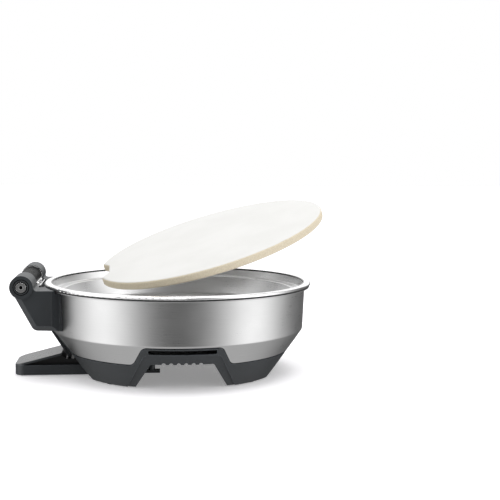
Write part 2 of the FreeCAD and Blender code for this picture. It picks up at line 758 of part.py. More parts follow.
def make_thermostat():
    under = dim.liner_floor_height - dim.liner_wall
    low = under - dim.thermostat_depth
    x = dim.thermostat_x
    can = cylinder("thermostat_can", dim.thermostat_radius, dim.thermostat_depth, (x, 0, low))
    half = dim.tab_width / 2
    tabs = [
        slab(f"thermostat_tab_{i}", (x - half, y, low - dim.tab_drop),
             (x + half, y + dim.tab_wall, low + dim.tab_wall))
        for i, y in enumerate((-dim.tab_spread, dim.tab_spread - dim.tab_wall))
    ]
    keep("thermostat", fused("thermostat_body", [can] + tabs))
    fuse_tube = crosswise("fuse_tube", dim.fuse_radius, dim.fuse_y - dim.fuse_half,
                          dim.fuse_half * 2, -dim.fuse_x, under - dim.saddle_drop / 2)
    saddle = slab(
        "fuse_saddle",
        (-(dim.fuse_x + dim.saddle_half), dim.fuse_y - dim.saddle_half, under - dim.saddle_drop),
        (dim.saddle_half - dim.fuse_x, dim.fuse_y + dim.saddle_half, under),
    )
    keep("thermal_fuse", fused("fuse_body", [fuse_tube, saddle]))


def make_terminal_block():
    top = plate_top + dim.terminal_height
    reach = dim.terminal_half_depth
    base = slab("terminal_base", (terminal_x - reach, -dim.terminal_half, plate_top),
                (terminal_x + reach, dim.terminal_half, top))
    wells = [
        cylinder(f"terminal_well_{i}", dim.wire_radius * 2, dim.terminal_well * 2,
                 (terminal_x, y, top - dim.terminal_well))
        for i, y in enumerate((-dim.terminal_pitch, 0.0, dim.terminal_pitch))
    ]
    keep("terminal_block", removed("terminal_body", base, wells))


def wire(name, points):
    """A round wire of straight runs joined by tangent arcs."""
    spots = [FreeCAD.Vector(*[as_size(c).value for c in p]) for p in points]
    bend = dim.wire_bend.value
    edges = []
    last = spots[0]
    for before, corner, after in zip(spots, spots[1:], spots[2:]):
        to_last = (before - corner).normalize()
        to_next = (after - corner).normalize()
        half = to_last.getAngle(to_next) / 2
        trim = bend / math.tan(half)
        arrive = corner + to_last * trim
        leave = corner + to_next * trim
        centre = corner + (to_last + to_next).normalize() * (bend / math.sin(half))
        middle = centre + (corner - centre).normalize() * bend
        edges.append(Part.LineSegment(last, arrive).toShape())
        edges.append(Part.Arc(arrive, middle, leave).toShape())
        last = leave
    edges.append(Part.LineSegment(last, spots[-1]).toShape())
    path = Part.Wire(edges)
    direction = (spots[1] - spots[0]).normalize()
    ring = Part.Wire(Part.makeCircle(dim.wire_radius.value, spots[0], direction))
    obj = doc.addObject("Part::Feature", name)
    obj.Shape = path.makePipeShell([ring], True, False)
    return obj


def make_wires():
    """Wires from the terminal block to both legs of the element and to the thermostat."""
    start = plate_top + dim.terminal_height - dim.wire_seat
    over = dim.wire_level
    wires = []
    for side in (-1, 1):
        x, y = element_end(side)
        y_well = dim.terminal_pitch * side
        route = [(terminal_x, y_well, start), (terminal_x, y_well, over), (x, y, over)]
        wires.append(wire(f"wire_leg_{side}", route + [(x, y, dim.element_low - dim.wire_gap)]))
    tab_middle = dim.liner_floor_height - dim.liner_wall - dim.thermostat_depth - dim.tab_drop / 2
    tab_edge = dim.thermostat_x - dim.tab_width / 2 - dim.wire_gap
    across = dim.tab_wall / 2 - dim.tab_spread
    route = [(terminal_x, 0, start), (terminal_x, 0, tab_middle), (tab_edge, across, tab_middle)]
    wires.append(wire("wire_thermostat", route))
    keep("internal_wires", grouped("wires", wires))


# ---------------------------------------------------------------- moulded frame and plate


def panel_outline():
    right = [
        (dim.panel_half_floor, -2),
        (dim.panel_half_top, dim.panel_top, 8.0),
    ]
    return mirrored(right)


def mouth_outline(top):
    shoulder = (dim.mouth_half_top, dim.mouth_top)
    ankle = (dim.mouth_half_floor, Size(0))
    right = [
        (flank(shoulder, ankle, Size(-2)), -2),
        (flank(shoulder, ankle, as_size(top)), top, 3.0),
    ]
    return mirrored(right)


def ring_outside(name, sink):
    """Everything just outside the cone, from a given depth under its surface."""
    return revolved(
        name,
        [
            (toe[0] - sink, toe[1]),
            (hem[0] - sink, hem[1]),
            (along(hem, crease, dim.arch_top) - sink, dim.arch_top),
            (dim.rim_radius, dim.arch_top),
            (dim.rim_radius, toe[1]),
        ],
    )


def make_frame():
    ledge = dim.hem_height - dim.hem_gap
    ledge_edge = along(toe, hem, ledge)
    core = revolved(
        "frame_core",
        [
            (along(toe, hem, leg_bottom), leg_bottom),
            (ledge_edge, ledge),
            (along(hem, crease, ledge) - frame_skin, ledge),
            (along(hem, crease, frame_top) - frame_skin, frame_top),
            (dim.ring_inner_high, frame_top),
            (dim.ring_inner_low, dim.leg_top),
            (dim.leg_inner_top, dim.leg_top),
            (dim.leg_inner_floor, leg_bottom),
        ],
    )
    flush = revolved(
        "frame_flush",
        [
            (ledge_edge - 4, ledge - 1),
            (along(toe, hem, ledge - 1), ledge - 1),
            hem,
            (along(hem, crease, band_top), band_top),
            (along(hem, crease, band_top) - 4, band_top),
            (hem[0] - 4, dim.hem_height),
        ],
    )
    band_shape = both_ways("band_shape", arch_outline(dim.hem_gap), dim.rim_radius * 2)
    bands = shared("frame_bands", flush, band_shape)
    solid = fused("frame_solid", [core, bands])
    panel_shape = both_ways("panel_shape", panel_outline(), dim.rim_radius * 2)
    sunk = shared("frame_sunk", ring_outside("panel_depth", dim.panel_sink), panel_shape)
    mouths = both_ways("frame_mouths", mouth_outline(dim.mouth_top), dim.rim_radius * 2)
    relief_top = dim.leg_top + 0.5
    relief_shape = both_ways("relief_shape", mouth_outline(relief_top), dim.rim_radius * 2)
    inside = cylinder("relief_inside", dim.plate_radius + dim.seam, relief_top, (0, 0, 0))
    relief = shared("frame_relief", inside, relief_shape)
    slot = mirrored([(dim.slot_half, dim.slot_low, 1.5), (dim.slot_half, dim.slot_high, 1.5)])
    slots = both_ways("frame_slots", slot, dim.rim_radius * 2)
    cuts = [sunk, mouths, relief, slots] + scallops()
    cuts += pad_cylinders("frame_pad_hole", 0.2, leg_bottom, dim.pad_depth)
    cuts += plate_screw_shanks("frame_pilot", screw_hole)
    keep("base_frame", removed("frame", solid, cuts))


def scallops():
    """Half-round air notches along the lower edge of each arch's panel."""
    tools = []
    for letter, role in (("y", "XZ_Plane"), ("x", "YZ_Plane")):
        count = int(dim.scallop_count.value)
        for i in range(count):
            across = dim.scallop_pitch * (i - (count - 1) / 2)
            tools.append(
                padded(
                    f"scallop_{letter}{i}",
                    role,
                    circled((across, dim.mouth_top), dim.scallop_radius),
                    dim.rim_radius * 2,
                    midplane=True,
                )
            )
    return tools


def at_legs(radius):
    """The four points at a radius on the legs' centre lines."""
    share = math.cos(math.radians(45))
    return [(radius * share * sx, radius * share * sy) for sx in (-1, 1) for sy in (-1, 1)]


def pad_cylinders(name, extra, bottom, height):
    return [
        cylinder(f"{name}_{i}", dim.pad_radius + extra, height, (x, y, bottom))
        for i, (x, y) in enumerate(at_legs(dim.pad_circle))
    ]


def plate_screw_shanks(name, radius):
    low = dim.leg_top - dim.screw_reach
    return [
        cylinder(f"{name}_{i}", radius, plate_top - low, (x, y, low))
        for i, (x, y) in enumerate(at_legs(dim.plate_screw_circle))
    ]


def make_feet_and_plate():
    height = leg_bottom + dim.pad_depth
    keep("leg_feet", grouped("feet", pad_cylinders("foot_pad", 0, 0, height)))
    disc = padded("plate_disc", "XY_Plane", circled((0, 0), dim.plate_radius),
                  dim.plate_wall, offset=dim.leg_top)
    disc_slots = []
    count = int(dim.vent_count.value)
    for i in range(count):
        y = dim.vent_pitch * (i - (count - 1) / 2) - dim.vent_width / 2
        disc_slots.append(
            slab(f"plate_vent_{i}", (dim.vent_start, y, dim.leg_top - 1),
                 (dim.vent_start + dim.vent_length, y + dim.vent_width, plate_top + 1))
        )
    holes = plate_screw_shanks("plate_screw_hole", screw_hole)
    for i, (x, y) in enumerate(foot_screw_spots()):
        holes.append(cylinder(f"plate_foot_hole_{i}", screw_hole, 20.0, (x, y, dim.leg_top - 5)))
    keep("bottom_plate", removed("plate", disc, disc_slots + holes))
    shanks = plate_screw_shanks("plate_shank", dim.screw_radius)
    screws = [
        fused(
            f"plate_screw_{i}",
            [
                shank,
                cylinder(f"plate_head_{i}", dim.screw_head_radius, dim.screw_head, (x, y, plate_top)),
            ],
        )
        for i, (shank, (x, y)) in enumerate(zip(shanks, at_legs(dim.plate_screw_circle)))
    ]
    keep("plate_screws", grouped("plate_screw_group", screws))


# ---------------------------------------------------------------- heat control and stone


def make_control():
    """A lever that slides round the bowl's axis in the front arch's slot."""
    high = dim.slot_high - dim.tab_gap
    low = dim.slot_low + dim.tab_gap
    tab_in = along(hem, crease, low) - dim.lever_neck
    tail = dim.ring_inner_low - dim.lever_tail
    half = dim.lever_half
    corners = [(tail, half), (tab_in, half), (tab_in, dim.tab_half), (tab_reach, dim.tab_half, 1.2)]
    stem = padded("control_lever", "XY_Plane", outlined(mirror_y(corners)), high - low, offset=low)
    keep("control_slider", stem)


def mirror_y(corners):
    """Close an outline across the horizontal axis from its upper corners."""
    low = [(c[0], -as_size(c[1]), *c[2:]) for c in reversed(corners)]
    return list(corners) + low


def make_stone():
    """The stone is modelled on its seat and then lifted about its own turning line."""
    body = padded("stone", "XY_Plane", circled((0, 0), dim.stone_radius),
                  dim.stone_thickness, offset=stone_seat)
    inner = dim.notch_depth - dim.stone_radius
    half = dim.notch_width / 2
    open_half = half + dim.notch_flare * dim.notch_depth * 2
    outline = mirror_y([(inner - dim.notch_depth * 2, open_half), (inner, half, dim.notch_corner)])
    add_pocket(body, "XY_Plane", outlined(outline), dim.stone_thickness * 3,
               offset=stone_seat, midplane=True)
    doc.recompute()
    mouth_half = (half + dim.notch_depth).value
    mouth_corners = edges_where(
        body, lambda box: box.ZLength > 1 and abs(box.YMin) > mouth_half
    )
    add_fillet(body, mouth_corners, dim.notch_corner / 2)
    doc.recompute()
    add_fillet(body, edges_where(body, lambda box: box.ZLength < 0.01), dim.stone_edge)
    heading = dim.stone_heading.value
    turn = math.radians(dim.stone_tilt.value)
    uphill = FreeCAD.Vector(math.cos(math.radians(heading)), math.sin(math.radians(heading)), 0)
    line = FreeCAD.Vector(uphill.y, -uphill.x, 0)
    shift, lift = dim.stone_shift.value, dim.stone_lift.value
    gain = 0.5 / math.tan(turn / 2)
    centre_height = (stone_seat + dim.stone_thickness).value
    pole = uphill * (shift / 2 - lift * gain)
    pole.z = centre_height + lift / 2 + shift * gain
    spin = FreeCAD.Rotation(line, dim.stone_tilt.value)
    body.Placement = FreeCAD.Placement(FreeCAD.Vector(), spin, pole)
    keep("baking_stone", body)
    print("stone pole", [round(c, 3) for c in pole], "axis", [round(c, 5) for c in line])


# ---------------------------------------------------------------- lid hinge


def block_profile():
    """Side view of the hinge block, (x, z)."""
    lean = 0.546
    tangent_x = hinge_x - dim.knuckle_radius * math.cos(math.atan(lean))
    tangent_z = dim.hinge_height - dim.knuckle_radius * math.sin(math.atan(lean))
    heel_x = tangent_x + (tangent_z - dim.block_low) * lean
    shoulder = hinge_x + dim.knuckle_radius
    return [
        (hinge_x + dim.block_depth, dim.block_sill),
        (hinge_x + dim.block_heel, dim.block_sill + 2.2),
        (heel_x, dim.block_low, dim.block_corner),
        (tangent_x, tangent_z),
        (hinge_x, dim.hinge_height),
        (shoulder, dim.hinge_height),
        (shoulder, dim.block_high, 4.5),
        (hinge_x + dim.block_depth, dim.block_high),
    ]


def block_plan(half, half_wall):
    """Plan view of the hinge block, narrower where it meets the wall."""
    return mirror_y(
        [
            (hinge_x + dim.block_depth, half_wall),
            (hinge_x + dim.block_taper_end, half_wall),
            (hinge_x + dim.block_taper_start, half, 4.0),
            (hinge_x - FAR, half),
        ]
    )


def block_screw_tools(name, radius):
    """Screws driven outwards through the housing into the hinge block."""
    tools = []
    start = -(crease[0] - 8)
    for i, (y, z) in enumerate(block_screw_spots()):
        tools.append(cylinder(f"{name}_{i}", radius, 24.0, (start, y, z), (0, 1, 0), -90))
    return tools


def block_screw_spots():
    low = dim.block_low + dim.block_screw_edge
    high = dim.block_high - dim.block_screw_edge * 1.6
    return [(y, z) for y in (-dim.block_screw_y, dim.block_screw_y) for z in (low, high)]


def make_block():
    side = padded("block_side", "XZ_Plane", outlined(block_profile()), cap_inner * 2, midplane=True)
    doc.recompute()
    rim_edges = edges_where(
        side,
        lambda box: box.YLength < 0.01 and box.ZMax < dim.block_high.value
        and box.XMin < (hinge_x + dim.block_depth).value - 5,
    )
    dress(side, "Chamfer", rim_edges, "Size", dim.block_edge)
    plan = padded("block_plan", "XY_Plane", outlined(block_plan(cap_inner, dim.block_half_wall)),
                  dim.rim_height * 2)
    blank = shared("block_blank", side, plan)
    knuckles = [
        crosswise(f"knuckle_{i}", dim.knuckle_radius, y, cap_inner - washer_outer,
                  hinge_x, dim.hinge_height)
        for i, y in enumerate((-cap_inner, washer_outer))
    ]
    whole = fused("block_whole", [blank] + knuckles)
    wall_cone = doc.addObject("Part::Cone", "block_wall_room")
    bind(wall_cone, "Radius1", crease[0] + dim.seam)
    bind(wall_cone, "Radius2", lip[0] + dim.seam)
    bind(wall_cone, "Height", lip[1] - crease[1])
    place(wall_cone, (0, 0, crease[1]))
    rim_room = cylinder("block_rim_room", dim.rim_radius + 1.0, 30.0,
                        (0, 0, dim.flange_low - dim.seam))
    swing = crosswise("block_drum_room", dim.knuckle_radius + 0.6, -washer_outer,
                      washer_outer * 2, hinge_x, dim.hinge_height)
    well = slab(
        "block_bracket_room",
        (hinge_x, -washer_outer, dim.bracket_low - 2),
        (hinge_x + dim.block_depth, washer_outer, dim.rim_height + 40),
    )
    back = slab(
        "block_back_room",
        (hinge_x - FAR, -washer_outer, dim.hinge_height),
        (hinge_x, washer_outer, dim.rim_height + 40),
    )
    bore = crosswise("block_bore", bore_radius, -cap_inner, cap_inner * 2,
                     hinge_x, dim.hinge_height)
    tools = [wall_cone, rim_room, swing, well, back, bore]
    tools += block_screw_tools("block_pilot", screw_hole)
    keep("hinge_block", removed("block", whole, tools))
    screws = []
    inner_wall = -(crease[0] - 6)
    for i, (y, z) in enumerate(block_screw_spots()):
        shank = cylinder(f"block_shank_{i}", dim.screw_radius, 20.0, (inner_wall, y, z), (0, 1, 0), -90)
        head = cylinder(f"block_head_{i}", dim.screw_head_radius, dim.screw_head,
                        (inner_wall + dim.screw_head, y, z), (0, 1, 0), -90)
        screws.append(fused(f"block_screw_{i}", [shank, head]))
    keep("hinge_block_screws", grouped("block_screws", screws))


def make_pin():
    length = (cap_inner - 0.2) * 2
    pin = crosswise("pin", dim.pin_radius, -(cap_inner - 0.2), length, hinge_x, dim.hinge_height)
    keep("hinge_pin", pin)


def make_cap(name, side):
    """An end cap with sunk rings and a seat for its bolt; side is -1 or +1 along Y."""
    outer = dim.hinge_half
    cap = cap_body(f"cap_{name}", side, cap_inner, outer, dim.knuckle_radius)
    rings = []
    for i, (ring_out, ring_in) in enumerate(((10.6, 9.3), (8.1, None))):
        start = outer - dim.cap_dish
        disc = cap_body(f"cap_ring_{name}_{i}", side, start, outer + 1, Size(ring_out))
        if ring_in:
            core = cap_body(f"cap_core_{name}_{i}", side, start - 1, outer + 2, Size(ring_in))
            disc = removed(f"cap_groove_{name}_{i}", disc, [core])
        rings.append(disc)
    hole = cap_body(f"cap_hole_{name}", side, cap_inner - 1, outer + 1,
                    dim.bolt_shank + dim.pin_fit)
    keep(f"hinge_cap_{name}", removed(f"cap_done_{name}", cap, rings + [hole]))
    head_in = outer - dim.cap_dish
    head = cap_body(f"bolt_head_{name}", side, head_in, outer + dim.bolt_proud, dim.bolt_radius)
    shank = cap_body(f"bolt_shank_{name}", side, cap_inner, head_in, dim.bolt_shank)
    bolt = fused(f"bolt_whole_{name}", [head, shank])
    socket = cap_body(f"bolt_socket_{name}", side, outer - 2.4, outer + 2, dim.bolt_socket)
    keep(f"hinge_bolt_{name}", removed(f"bolt_{name}", bolt, [socket]))


def cap_body(name, side, inner, outer, radius):
    """A disc round the hinge line between two distances from the middle."""
    start = inner if side > 0 else -outer
    return crosswise(name, radius, start, outer - inner, hinge_x, dim.hinge_height)


def make_washers():
    washers = []
    for name, side in (("near", -1), ("far", 1)):
        inner = dim.drum_half + dim.running_gap
        disc = cap_body(f"washer_{name}", side, inner, washer_outer, dim.washer_radius)
        hole = cap_body(f"washer_hole_{name}", side, inner - 1, washer_outer + 1, bore_radius)
        washers.append(removed(f"washer_ring_{name}", disc, [hole]))
    keep("hinge_washers", grouped("washers", washers))


def make_drum():
    drum = crosswise("drum_solid", dim.drum_radius, -dim.drum_half, dim.drum_half * 2,
                     hinge_x, dim.hinge_height)
    pad_half = dim.bracket_half
    arm = slab(
        "drum_arm",
        (hinge_x, -pad_half, dim.bracket_low),
        (-dim.bracket_back_x, pad_half, dim.bracket_low + 9),
    )
    whole = fused("drum_whole", [drum, arm])
    grooves = []
    for i in range(-4, 5):
        y = dim.drum_groove_pitch * i - dim.drum_groove_width / 2
        outer = crosswise(f"groove_out_{i}", dim.drum_radius + 1, y, dim.drum_groove_width,
                          hinge_x, dim.hinge_height)
        inner = crosswise(f"groove_in_{i}", dim.drum_radius - dim.drum_groove, y - 1,
                          dim.drum_groove_width + 2, hinge_x, dim.hinge_height)
        ring = removed(f"groove_{i}", outer, [inner])
        keep_arm = slab(
            f"groove_limit_{i}",
            (hinge_x - 40, y - 1, dim.bracket_low + 9),
            (hinge_x + 40, y + dim.drum_groove_width + 1, dim.hinge_height + 30),
        )
        grooves.append(shared(f"groove_cut_{i}", ring, keep_arm))
    bore = crosswise("drum_bore", bore_radius, -(dim.drum_half + 1), (dim.drum_half + 1) * 2,
                     hinge_x, dim.hinge_height)
    pilots = bracket_screw_parts("drum_pilot", screw_hole)
    keep("hinge_barrel", removed("drum", whole, grooves + [bore] + pilots))


def bracket_screw_spots():
    return [(-22.0, dim.bracket_low + 5.4), (22.0, dim.bracket_low + 5.4)]


def bracket_screw_parts(name, radius):
    front = -(dim.bracket_back_x - dim.bracket_wall)
    return [
        cylinder(f"{name}_{i}", radius, 8.0, (front, y, z), (0, 1, 0), -90)
        for i, (y, z) in enumerate(bracket_screw_spots())
    ]


def make_bracket():
    """A steel channel along Y, open upwards, that takes the lid's arm."""
    back = -dim.bracket_back_x
    front = -bracket_front
    wall = dim.bracket_wall
    low = dim.bracket_low
    corners = [
        (back, low, 1.2),
        (front, low, 1.2),
        (front, dim.bracket_front_top, 0.8),
        (front - wall, dim.bracket_front_top, 0.8),
        (front - wall, low + wall),
        (back + wall, low + wall),
        (back + wall, dim.bracket_back_top, 0.8),
        (back, dim.bracket_back_top, 0.8),
    ]
    channel = padded("bracket_channel", "XZ_Plane", outlined(corners), dim.bracket_half * 2, midplane=True)
    holes = bracket_screw_parts("bracket_hole", screw_hole)
    keep("lid_bracket", removed("bracket", channel, holes))
    shanks = bracket_screw_parts("bracket_shank", dim.screw_radius)
    screws = []
    for i, (shank, (y, z)) in enumerate(zip(shanks, bracket_screw_spots())):
        head = cylinder(f"bracket_head_{i}", dim.screw_head_radius - 0.6, 1.2,
                        (back + wall + 1.2, y, z), (0, 1, 0), -90)
        screws.append(fused(f"bracket_screw_{i}", [shank, head]))
    keep("bracket_screws", grouped("bracket_screw_group", screws))


# ---------------------------------------------------------------- rear spine and foot


def make_spine():
    """The wire channel that runs down the cone from the hinge block to the foot."""
    near, out = dim.seam, dim.spine_proud
    high = dim.block_sill - 0.6
    low = dim.spine_low
    corners = [
        (along(toe, hem, low) + near, low),
        (along(toe, hem, low) + out, low),
        (hem[0] + out, hem[1]),
        (crease[0] + out - 1.2, crease[1]),
        (along(crease, lip, high) + out - 1.2, high),
        (along(crease, lip, high) + near, high),
        (crease[0] + near, crease[1]),
        (hem[0] + near, hem[1]),
    ]
    keep("rear_spine", place(revolved("spine", corners, dim.spine_angle), (0, 0, 0), (0, 0, 1), 180))


def foot_plan():
    """Plan of the stabilising foot, with its rear corners rounded."""
    return mirror_y([(-dim.foot_front_x, dim.foot_half), (-dim.foot_rear_x, dim.foot_half, dim.foot_corner)])


def cover_slope(drop):
    """Points along the cover's top, or under it with a drop."""
    tail = (-(dim.foot_rear_x + 1), dim.foot_flange_top + 0.2 - drop)
    middle = (-dim.foot_cover_mid_x, dim.foot_cover_mid_top - drop)
    front = (-dim.foot_cover_front_x, dim.foot_cover_front_top - drop)
    return tail, middle, front


def foot_screw_spots():
    x = -(dim.foot_front_x + dim.foot_screw_inset)
    return [(x, -dim.foot_screw_y), (x, dim.foot_screw_y)]


def make_foot():
    height = dim.foot_flange_top - leg_bottom
    flange = padded("foot_flange", "XY_Plane", outlined(foot_plan()), height, offset=leg_bottom)
    keep("rear_foot_base", flange)
    tail, middle, front = cover_slope(dim.foot_cover_wall)
    inside = dim.ring_inner_low - dim.foot_web_gap
    web_tail = dim.foot_web_tail - dim.foot_rear_x
    web_tail_top = along((tail[1], tail[0]), (middle[1], middle[0]), web_tail)
    web_top = dim.leg_top
    corners = [
        (web_tail, dim.foot_flange_top),
        (-dim.foot_front_x, dim.foot_flange_top),
        (-dim.foot_front_x, web_top),
        (-inside, web_top),
        (-inside, dim.mouth_top - 8),
        (-(along(toe, hem, dim.spine_low) - 4), dim.spine_low - 0.5),
        (-(along(toe, hem, dim.spine_low) + dim.spine_proud + 2), dim.spine_low - 0.5),
        front,
        middle,
        (web_tail, web_tail_top),
    ]
    web = padded("foot_web", "XZ_Plane", outlined(corners), dim.foot_web_half * 2, midplane=True)
    pilots = [
        cylinder(f"web_pilot_{i}", screw_hole, dim.screw_reach + 1, (x, y, dim.leg_top - dim.screw_reach))
        for i, (x, y) in enumerate(foot_screw_spots())
    ]
    keep("rear_foot_web", removed("foot_web_bored", web, pilots))
    top_tail, top_middle, top_front = cover_slope(0)
    sheet_corners = [
        (tail[0], dim.foot_flange_top),
        top_tail,
        top_middle,
        top_front,
        front,
        middle,
        (web_tail, web_tail_top),
        (web_tail, dim.foot_flange_top),
    ]
    strip = padded("cover_strip", "XZ_Plane", outlined(sheet_corners), dim.foot_half * 2, midplane=True)
    trim = padded("cover_trim", "XY_Plane", outlined(foot_plan()), dim.crease_height)
    keep("rear_foot_cover", shared("cover", strip, trim))
    rear = dim.foot_pad_inset - dim.foot_rear_x
    half = dim.rear_pad_half
    pads = [
        slab(f"rear_pad_{i}", (rear, y - half, 0), (rear + half * 2, y + half, leg_bottom))
        for i, y in enumerate((-dim.rear_pad_y, dim.rear_pad_y))
    ]
    keep("rear_foot_pads", grouped("rear_pads", pads))
    screws = []
    for i, (x, y) in enumerate(foot_screw_spots()):
        low = dim.leg_top - dim.screw_reach
        shank = cylinder(f"foot_shank_{i}", dim.screw_radius, plate_top - low, (x, y, low))
        head = cylinder(f"foot_head_{i}", dim.screw_head_radius, dim.screw_head, (x, y, plate_top))
        screws.append(fused(f"foot_screw_{i}", [shank, head]))
    keep("foot_screws", grouped("foot_screw_group", screws))


# ---------------------------------------------------------------- cord fittings


def make_cleats():
    """Posts under the bottom plate with a cross arm, to wind the cord round."""
    for name, side in (("near", -1), ("far", 1)):
        y = dim.cleat_y * side
        post = cylinder(f"cleat_post_{name}", dim.cleat_post, dim.leg_top - dim.cleat_low,
                        (-dim.cleat_x, y, dim.cleat_low))
        arm = slab(
            f"cleat_arm_{name}",
            (-(dim.cleat_x + dim.cleat_arm_half), y - dim.cleat_post, dim.cleat_low),
            (-(dim.cleat_x - dim.cleat_arm_half), y + dim.cleat_post, dim.cleat_low + dim.cleat_arm),
        )
        keep(f"cord_cleat_{name}", fused(f"cleat_{name}", [post, arm]))


def make_gland():
    at = (-dim.gland_x, dim.gland_y)
    collar = cylinder("gland_collar", dim.gland_radius, 5.0, (*at, dim.leg_top - 5))
    nose = cylinder("gland_nose", dim.gland_radius - 2, dim.leg_top - dim.gland_low, (*at, dim.gland_low))
    whole = fused("gland_whole", [collar, nose])
    bore = cylinder("gland_hole", dim.gland_bore, 40.0, (*at, dim.gland_low - 5))
    keep("cord_gland", removed("gland", whole, [bore]))


make_housing()
make_rim()
make_liner()
make_element()
make_clips()
make_thermostat()
make_terminal_block()
make_wires()
make_frame()
make_feet_and_plate()
make_control()
make_stone()
make_block()
make_pin()
make_cap("near", -1)
make_cap("far", 1)
make_washers()
make_drum()
make_bracket()
make_spine()
make_foot()
make_cleats()
make_gland()

# ---------------------------------------------------------------- checks and export

doc.recompute()
faults = [
    obj.Name for obj in doc.Objects if "Invalid" in obj.State or "Error" in obj.State
]
if faults:
    raise RuntimeError(f"failed objects: {faults}")
for node, obj in pieces.items():
    if obj.Shape.isNull() or not obj.Shape.isValid() or not obj.Shape.Solids:
        raise RuntimeError(f"{node} has no valid solid")

os.makedirs("parts", exist_ok=True)
for node, obj in pieces.items():
    obj.Shape.exportStep(f"parts/{node}.step")
print(len(pieces), "nodes written")
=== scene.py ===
import math

import bpy
from mathutils import Matrix, Vector

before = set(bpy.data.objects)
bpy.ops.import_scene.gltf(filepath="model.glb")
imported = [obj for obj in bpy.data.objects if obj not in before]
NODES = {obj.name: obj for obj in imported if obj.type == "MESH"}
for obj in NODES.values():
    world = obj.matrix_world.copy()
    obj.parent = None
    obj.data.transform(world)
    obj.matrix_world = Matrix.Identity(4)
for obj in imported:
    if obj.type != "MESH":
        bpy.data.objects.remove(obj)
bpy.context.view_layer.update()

# ---------------------------------------------------------------- camera

CAMERA_PLACE = Vector((-0.0482, -1.4532, 0.2965))
CAMERA_YAW = math.radians(5.81)
CAMERA_TILT = math.radians(5.072)
CAMERA_ROLL = math.radians(0.383)
CAMERA_LENS = 75.56
SENSOR_WIDTH = 36.0


def make_camera():
    """Looks nearly along +Y, a little down."""
    forward = Vector(
        (
            math.sin(CAMERA_YAW) * math.cos(CAMERA_TILT),
            math.cos(CAMERA_YAW) * math.cos(CAMERA_TILT),
            -math.sin(CAMERA_TILT),
        )
    )
    level = Vector((math.cos(CAMERA_YAW), -math.sin(CAMERA_YAW), 0))
    upright = level.cross(forward)
    right = level * math.cos(CAMERA_ROLL) + upright * math.sin(CAMERA_ROLL)
    up = upright * math.cos(CAMERA_ROLL) - level * math.sin(CAMERA_ROLL)
    turn = Matrix((right, up, -forward)).transposed()
    data = bpy.data.cameras.new("camera")
    data.lens = CAMERA_LENS
    data.sensor_width = SENSOR_WIDTH
    data.clip_start = 0.05
    data.clip_end = 60.0
    camera = bpy.data.objects.new("camera", data)
    camera.matrix_world = Matrix.Translation(CAMERA_PLACE) @ turn.to_4x4()
    bpy.context.scene.collection.objects.link(camera)
    bpy.context.scene.camera = camera


# ---------------------------------------------------------------- node graphs


class Graph:
    """Short calls for building one node tree."""

    def __init__(self, tree):
        self.tree = tree
        self.nodes = tree.nodes

    def add(self, kind, inputs=None, **settings):
        node = self.nodes.new(kind)
        for name, value in settings.items():
            setattr(node, name, value)
        for name, value in (inputs or {}).items():
            self.feed(node.inputs[name], value)
        return node

    def feed(self, socket, value):
        if isinstance(value, bpy.types.NodeSocket):
            self.tree.links.new(value, socket)
        else:
            socket.default_value = value

    def math(self, operation, first, second=0.0, clamp=False):
        node = self.add("ShaderNodeMath", {0: first, 1: second}, operation=operation)
        node.use_clamp = clamp
        return node.outputs[0]

    def length(self, first, second):
        """Length of a flat vector from its two parts."""
        squares = [self.math("MULTIPLY", part, part) for part in (first, second)]
        return self.math("SQRT", self.math("ADD", *squares))

    def scaled_sum(self, value, factor, plus):
        """value * factor + plus"""
        inputs = {0: value, 1: factor, 2: plus}
        return self.add("ShaderNodeMath", inputs, operation="MULTIPLY_ADD").outputs[0]

    def stretch(self, value, low, high, to_low=0.0, to_high=1.0):
        """A value's range mapped to another, and held inside it."""
        node = self.add(
            "ShaderNodeMapRange",
            {0: value, 1: low, 2: high, 3: to_low, 4: to_high},
            interpolation_type="SMOOTHSTEP",
        )
        return node.outputs[0]

    def mix(self, share, first, second):
        node = self.add("ShaderNodeMix", data_type="RGBA")
        self.feed(node.inputs[0], share)
        self.feed(node.inputs[6], first)
        self.feed(node.inputs[7], second)
        return node.outputs[2]

    def place(self):
        """The point in the frame, as the object's own coordinates."""
        return self.add("ShaderNodeTexCoord").outputs["Object"]

    def axes(self, vector):
        node = self.add("ShaderNodeSeparateXYZ", {0: vector})
        return node.outputs[0], node.outputs[1], node.outputs[2]

    def vector(self, x, y, z):
        return self.add("ShaderNodeCombineXYZ", {0: x, 1: y, 2: z}).outputs[0]

    def noise(self, place, scale, detail=4.0, roughness=0.5):
        node = self.add(
            "ShaderNodeTexNoise",
            {"Vector": place, "Scale": scale, "Detail": detail, "Roughness": roughness},
        )
        return node.outputs["Fac"]

    def bump(self, height, distance, strength=1.0, normal=None):
        inputs = {"Height": height, "Distance": distance, "Strength": strength}
        if normal is not None:
            inputs["Normal"] = normal
        return self.add("ShaderNodeBump", inputs).outputs[0]


def grey(value, warm=0.0):
    return (value * (1 + warm), value, value * (1 - warm), 1.0)


def new_material(name, colour, metallic=0.0, roughness=0.5):
    """A Principled material, its graph and its shader node."""
    material = bpy.data.materials.new(name)
    material.use_nodes = True
    graph = Graph(material.node_tree)
    shader = graph.nodes["Principled BSDF"]
    shader.inputs["Base Color"].default_value = colour
    shader.inputs["Metallic"].default_value = metallic
    shader.inputs["Roughness"].default_value = roughness
    material.diffuse_color = colour
    return material, graph, shader


def edge_wear_and_highlight(graph, radius, low, high):
    """Near 1 along sharp edges, broken up, and 0 on open faces: the mask for edge colour that is
    part wear, part painted highlight.
    """
    rounded = graph.add("ShaderNodeBevel", {"Radius": radius}, samples=6)
    true = graph.add("ShaderNodeNewGeometry").outputs["Normal"]
    dot = graph.add("ShaderNodeVectorMath", operation="DOT_PRODUCT")
    graph.feed(dot.inputs[0], rounded.outputs[0])
    graph.feed(dot.inputs[1], true)
    return rounded.outputs[0], graph.stretch(dot.outputs["Value"], high, low)


# ---------------------------------------------------------------- metals


